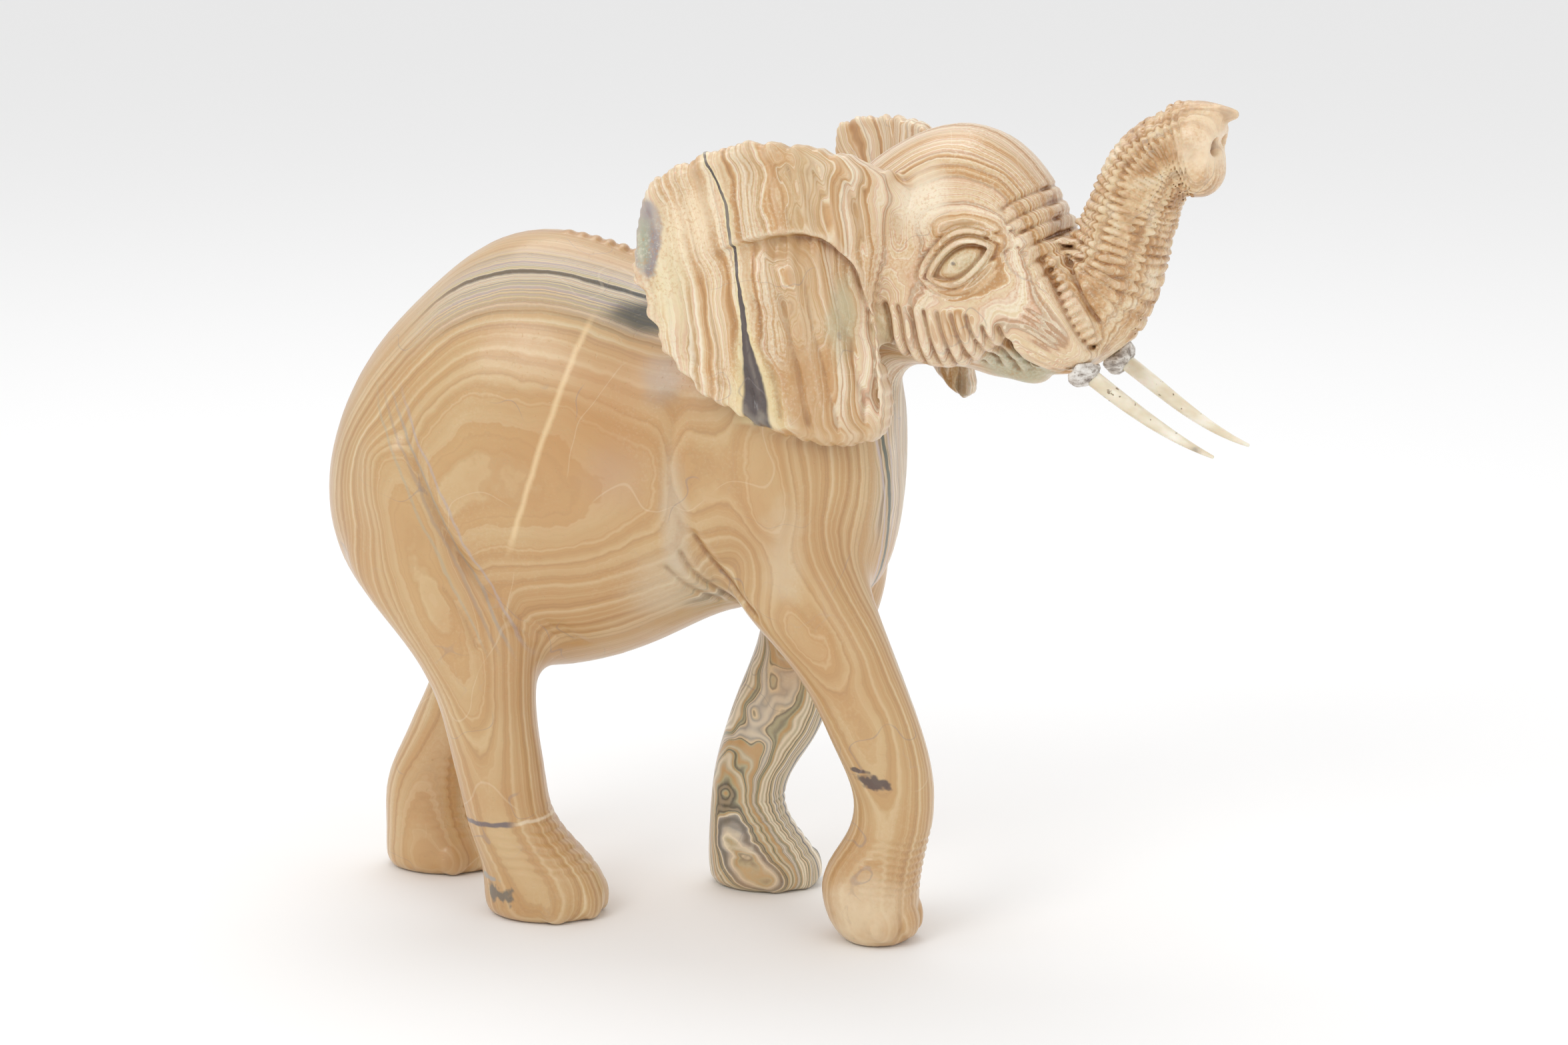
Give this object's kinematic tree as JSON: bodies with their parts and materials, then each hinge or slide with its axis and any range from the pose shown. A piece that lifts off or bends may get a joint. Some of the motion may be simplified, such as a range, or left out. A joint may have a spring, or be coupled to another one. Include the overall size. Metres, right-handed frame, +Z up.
{
  "type": "elephant figurine",
  "caption": "Carved, polished banded-stone elephant standing mid-stride with a raised trunk, spread ears and pegged-in bone tusks.",
  "frame": {"origin": "middle of the figure's bounding box, on the plane that the four soles stand on", "axes": "+X the way the elephant faces, +Y the animal's left, +Z up"},
  "size_m": [0.2792, 0.1284, 0.2493],
  "materials": {
    "banded_stone": "polished",
    "tusk_bone": "satin",
    "tusk_filler": "matte"
  },
  "bodies": {
    "root": {"carved_body": "banded_stone", "tusk_right": "tusk_bone", "tusk_left": "tusk_bone", "tusk_filler_right": "tusk_filler", "tusk_filler_left": "tusk_filler"}
  },
  "joints": []
}
